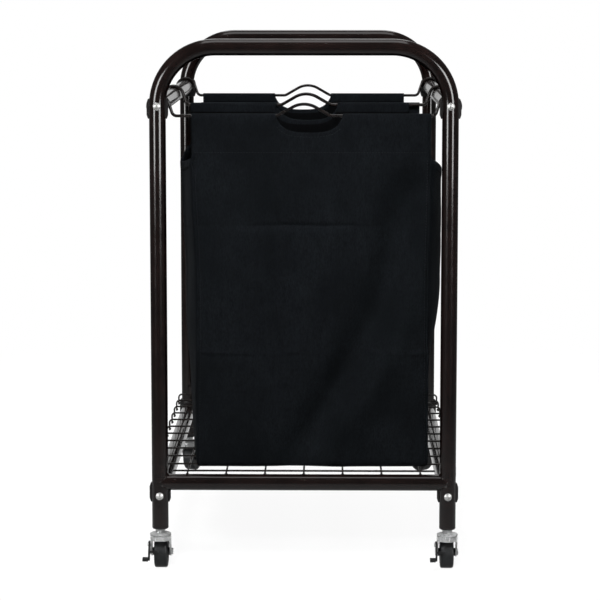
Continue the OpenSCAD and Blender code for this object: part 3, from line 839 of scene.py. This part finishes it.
    def bindings(self):
        """Tape folded over the raw top edge of each side panel."""
        top, below = self.ring[-1], self.ring[-2]
        nx, ny = self.nx, self.ny
        parts = []
        for side, cols in (
            (1, list(range(nx, nx + ny + 1))),
            (-1, [0, *list(range(2 * nx + ny + 1, len(top)))[::-1], 2 * nx + ny]),
        ):
            line = self.settle(np.array([self.points[top[c]] for c in cols]))
            down = self.settle(np.array([self.points[below[c]] for c in cols])) - line
            down /= np.linalg.norm(down, axis=1)[:, None]
            along = np.gradient(line, axis=0)
            out = np.cross(down, along)
            out /= np.linalg.norm(out, axis=1)[:, None]
            out *= np.sign(out[:, 0] * side)[:, None]
            inset = slice(1, -1)
            line, down, out = line[inset], down[inset], out[inset]
            m = len(TAPE)
            pts, fcs = [], []
            for i in range(len(line)):
                for o, d in TAPE:
                    pts.append(line[i] + out[i] * o + down[i] * d)
            for i in range(len(line) - 1):
                for k in range(m):
                    j = (k + 1) % m
                    fcs.append((i * m + k, i * m + j, (i + 1) * m + j, (i + 1) * m + k))
            half = m // 2
            for i, flip in ((0, False), (len(line) - 1, True)):
                for k in range(half - 1):
                    cap = (i * m + k, i * m + k + 1, i * m + m - 2 - k, i * m + m - 1 - k)
                    fcs.append(cap[::-1] if flip else cap)
            parts.append((np.array(pts), fcs))
        pts, fcs = joined(parts)
        return make_piece(f"{self.body}_bindings", pts, fcs, CLOTH, self.body)

    def stitches(self):
        """Lockstitch rows: both hems, round the hand holes, and beside every corner seam."""
        parts = []
        shell = surface_tree(self.piece.data)
        for side, y in self.rod_y.items():
            look = (0, -side, 0)
            x0, x1 = self.left[0] + 3, self.right[0] - 3
            row = [(x, y, SEAM_Z) for x in np.linspace(x0, x1, 60)]
            parts += stitch_row(shell, row, look)
            arc = [
                (self.hem_x(side, x + self.hole_x), y, hole_edge(x, STITCH_INSET))
                for x in np.linspace(-HOLE_HALF + 1, HOLE_HALF - 1, 40)
            ]
            parts += stitch_row(shell, arc, look)
            far = 0.0 if side < 0 else 1.0
            for which in SIDES:
                line = [
                    (self.edge(which, z, far) - which * STITCH_INSET, y, z)
                    for z in np.linspace(FLOOR_Z + 4, CORNER_Z, 90)
                ]
                parts += stitch_row(shell, line, look)
        pts, fcs = joined(parts)
        return make_piece(f"{self.body}_stitches", pts, fcs, THREAD, self.body)


# each row: X at the seam, lean and bow of its line in X, half width, height (a valley's is
# negative), and where it starts and ends as shares of the way down from the seam
FRONT_FOLDS = {
    -1: [
        (178, -192, 30, 30, -17.0, 0.00, 1.12),
        (232, -187, 30, 30, 10.0, 0.04, 0.98),
        (14, 60, 0, 13, 5.5, 0.00, 0.42),
        (-14, -24, 0, 12, 4.0, 0.00, 0.34),
        (52, 20, 0, 12, 4.5, 0.00, 0.30),
        (12, 10, 22, 15, 3.5, 0.30, 0.80),
        (-44, 30, 0, 26, -5.0, 0.08, 0.70),
        (-120, 40, 0, 36, 7.0, 0.20, 1.06),
        (110, -60, 0, 22, 6.0, 0.72, 1.12),
        (196, -20, 0, 22, -7.0, 0.74, 1.12),
        (-160, 6, 0, 12, -4.0, 0.10, 0.98),
    ],
    1: [
        (-80, 20, 0, 36, -9.0, 0.05, 0.95),
        (40, -30, 0, 40, -7.0, 0.05, 0.90),
        (140, 10, 0, 26, -6.0, 0.10, 0.95),
    ],
}
REAR_FOLDS = {
    -1: [
        (-90, 30, 0, 36, -8.0, 0.05, 0.95),
        (60, -24, 0, 36, -7.0, 0.05, 0.90),
        (150, -6, 0, 24, -6.0, 0.10, 0.95),
    ],
    1: [
        (-140, 150, -24, 32, 12.0, 0.00, 1.10),
        (20, -46, 0, 28, -9.0, 0.05, 0.98),
        (104, -30, 12, 30, 10.0, 0.03, 0.85),
        (-60, 26, 0, 26, -8.0, 0.30, 1.06),
        (140, -8, 0, 18, -6.0, 0.02, 0.95),
    ],
}
Bag(
    "front_bag",
    near_y=-332.0,
    far_y=-5.0,
    left=(-172.0, -165.0, -167.0),
    right=(194.0, 190.5, 193.0),
    skew=-22.0,
    holes=(8.0, 2.0),
    folds=FRONT_FOLDS,
    bulge={-1: (15.0, 400.0, 130.0, 15.0), 1: (33.0, 440.0, 220.0, 27.0)},
    seed=0.4,
)
Bag(
    "rear_bag",
    near_y=5.0,
    far_y=332.0,
    left=(-176.0, -173.0, -170.0),
    right=(190.0, 186.0, 183.0),
    skew=-15.0,
    holes=(3.0, -9.0),
    folds=REAR_FOLDS,
    bulge={-1: (18.0, 520.0, 300.0, 22.0), 1: (24.0, 500.0, 260.0, 24.0)},
    seed=2.9,
)


# ------------------------------------------------------------ welds on steel

POST_X, POST_Y, POST_R = 222.3, 355.0, 12.7
BAR_Z, BAR_R = 139.0, 12.5
# the deck's wires: their pitch, the last crossings, and the heights where they touch
WIRE_PITCH, LAST_X, LAST_Y = 60, 180, 300
CROSSING_Z, BORDER_Z, WIRE_END_Z = 154.45, 151.9, 139.5
RAIL_SIDE_X = 235.2


def weld_bead(x_side, y):
    """Rippled fillet round the end of a cross bar where it meets a post."""
    path, size = [], []
    for k in range(64):
        a = 2 * math.pi * k / 64
        dy = (BAR_R + 0.5) * math.cos(a)
        dz = (BAR_R + 0.5) * math.sin(a)
        reach = math.sqrt(max(POST_R**2 - dy * dy, 2.0))
        path.append((x_side * (POST_X - reach - 0.3), y + dy, BAR_Z + dz))
        size.append(1.15 + 0.16 * math.sin(11 * a) + 0.12 * math.sin(29 * a + 1))
    return tube(path, size, 8, closed=True)


beads = [weld_bead(side, y) for side in SIDES for y in (-POST_Y, POST_Y)]
points, faces = joined(beads)
make_piece("cross_bar_welds", points, faces, FRAME_PAINT, "frame")

spots = []
columns = range(-LAST_X, LAST_X + 1, WIRE_PITCH)
rows = range(-LAST_Y, LAST_Y + 1, WIRE_PITCH)
for i, x in enumerate(columns):
    for y in (-POST_Y, POST_Y):
        spots.append(lump((x, y - 0.6 * math.copysign(1, y), BORDER_Z), (2.6, 3.0, 1.0)))
    for j, y in enumerate(rows):
        grow = 1 + 0.12 * math.sin(3.1 * i + 1.7 * j)
        spots.append(lump((x, y, CROSSING_Z), (1.75 * grow, 1.75 * grow, 0.85)))
for y in rows:
    for side in SIDES:
        spots.append(lump((side * RAIL_SIDE_X, y, WIRE_END_Z), (0.95, 2.0, 1.9)))
points, faces = joined(spots)
make_piece("deck_weld_spots", points, faces, WIRE_COAT, "frame")


# ------------------------------------------------------- floor, light, camera


# share of the floor that is clear at its middle, and its own faint light
FLOOR_CLEAR, FLOOR_GLOW = 0.78, 0.66
# strength of the surround for other rays than the camera's: the room and the backdrop
ROOM, BACKDROP = 0.10, 0.7
# name, place, aim, size, watts, then what it leaves out or its spread in degrees
LIGHTS = (
    ("top_softbox", (0.0, -0.4, 3.2), (0, 0, 0.3), (1.6, 1.6), 12, {}),
    ("left_softbox", (-2.82, -3.33, 1.15), (0, 0, 0.75), (1.25, 1.7), 62, {"diffuse": False}),
    ("right_softbox", (2.05, -3.15, 1.15), (0, 0, 0.75), (1.1, 1.7), 52, {"diffuse": False}),
    (
        "key_softbox", (-0.45, -3.05, 3.0), (0, -0.33, 0.80), (1.0, 1.0), 12,
        {"glossy": False, "spread": 50},
    ),
    ("back_softbox", (0.0, 2.3, 2.9), (0, 0, 0.6), (1.6, 0.8), 8, {}),
    ("side_fill", (3.2, 1.3, 1.9), (0, 0, 0.5), (1.2, 1.2), 34, {"glossy": False}),
    ("back_fill", (-1.2, 4.0, 2.2), (0, 0, 0.5), (1.2, 1.2), 34, {"glossy": False}),
)


def studio_floor():
    """A pale disc, partly clear so that it blends into the white surround and fades at its edge."""
    sides, reach = 96, 2.1
    mesh = bpy.data.meshes.new("studio_floor")
    turns = [2 * math.pi * k / sides for k in range(sides)]
    ring = [(reach * math.cos(a), reach * math.sin(a), 0) for a in turns]
    mesh.from_pydata(ring, [], [tuple(range(sides))])
    f = Finish("studio_floor", (0.86, 0.86, 0.86), 0.8, specular=0.1)
    f.set("Emission Color", (1, 1, 1, 1))
    f.set("Emission Strength", FLOOR_GLOW)
    f.color(f.mix(f.noise(3, 2.0), (0.85, 0.85, 0.85), (0.88, 0.88, 0.88)))
    x, y = f.axis("X"), f.axis("Y")
    far = f.math("SQRT", f.math("ADD", f.math("MULTIPLY", x, x), f.math("MULTIPLY", y, y)))
    fade = f.ramp(far, 0.5, 1.9, FLOOR_CLEAR, 1.0)
    clear = f.tree.nodes.new("ShaderNodeBsdfTransparent")
    blend = f.tree.nodes.new("ShaderNodeMixShader")
    f.tree.links.new(fade, blend.inputs[0])
    f.tree.links.new(f.shader.outputs[0], blend.inputs[1])
    f.tree.links.new(clear.outputs[0], blend.inputs[2])
    f.tree.links.new(blend.outputs[0], f.tree.nodes["Material Output"].inputs["Surface"])
    mesh.materials.append(f.material)
    floor = bpy.data.objects.new("studio_floor", mesh)
    scene.collection.objects.link(floor)
    floor.location.z = -0.0004
    floor.visible_diffuse = False


def area_light(name, where, aim, size, power, diffuse=True, glossy=True, spread=180):
    """A soft box; diffuse and glossy say which kinds of reflection it shows in."""
    data = bpy.data.lights.new(name, "AREA")
    data.shape = "RECTANGLE"
    data.size, data.size_y = size
    data.energy = power
    data.spread = math.radians(spread)
    light = bpy.data.objects.new(name, data)
    light.location = where
    light.rotation_euler = (Vector(aim) - Vector(where)).to_track_quat("-Z", "Y").to_euler()
    light.visible_camera = False
    light.visible_diffuse = diffuse
    light.visible_glossy = glossy
    scene.collection.objects.link(light)


def studio_world():
    """White to the camera; for light, a bright backdrop behind the cart and a dim room in front."""
    world = bpy.data.worlds.new("studio")
    world.use_nodes = True
    scene.world = world
    tree = world.node_tree
    tree.nodes.clear()
    out = tree.nodes.new("ShaderNodeOutputWorld")
    seen = tree.nodes.new("ShaderNodeBackground")
    seen.inputs["Color"].default_value = (1, 1, 1, 1)
    seen.inputs["Strength"].default_value = 1.0
    room = tree.nodes.new("ShaderNodeBackground")
    coords = tree.nodes.new("ShaderNodeTexCoord")
    split = tree.nodes.new("ShaderNodeSeparateXYZ")
    tree.links.new(coords.outputs["Generated"], split.inputs[0])
    level = tree.nodes.new("ShaderNodeMapRange")
    level.interpolation_type = "SMOOTHSTEP"
    level.inputs["From Min"].default_value = 0.85
    level.inputs["From Max"].default_value = 0.97
    level.inputs["To Min"].default_value = ROOM
    level.inputs["To Max"].default_value = BACKDROP
    tree.links.new(split.outputs["Y"], level.inputs["Value"])
    tree.links.new(level.outputs["Result"], room.inputs["Strength"])
    path = tree.nodes.new("ShaderNodeLightPath")
    mix = tree.nodes.new("ShaderNodeMixShader")
    tree.links.new(path.outputs["Is Camera Ray"], mix.inputs[0])
    tree.links.new(room.outputs[0], mix.inputs[1])
    tree.links.new(seen.outputs[0], mix.inputs[2])
    tree.links.new(mix.outputs[0], out.inputs["Surface"])


studio_floor()
studio_world()
for name, place, aim, size, watts, choices in LIGHTS:
    area_light(name, place, aim, size, watts, **choices)

scene.view_settings.view_transform = "Standard"
scene.view_settings.look = "None"

lens = bpy.data.cameras.new("camera")
lens.lens = 132.97
lens.sensor_width = 36.0
lens.shift_y = -0.08
lens.clip_start, lens.clip_end = 0.1, 60
camera = bpy.data.objects.new("camera", lens)
camera.location = (0.0361, -3.7162, 0.8962)
camera.rotation_euler = (math.radians(90 - 6.763), 0, math.radians(0.715))
scene.collection.objects.link(camera)
bpy.context.scene.camera = camera
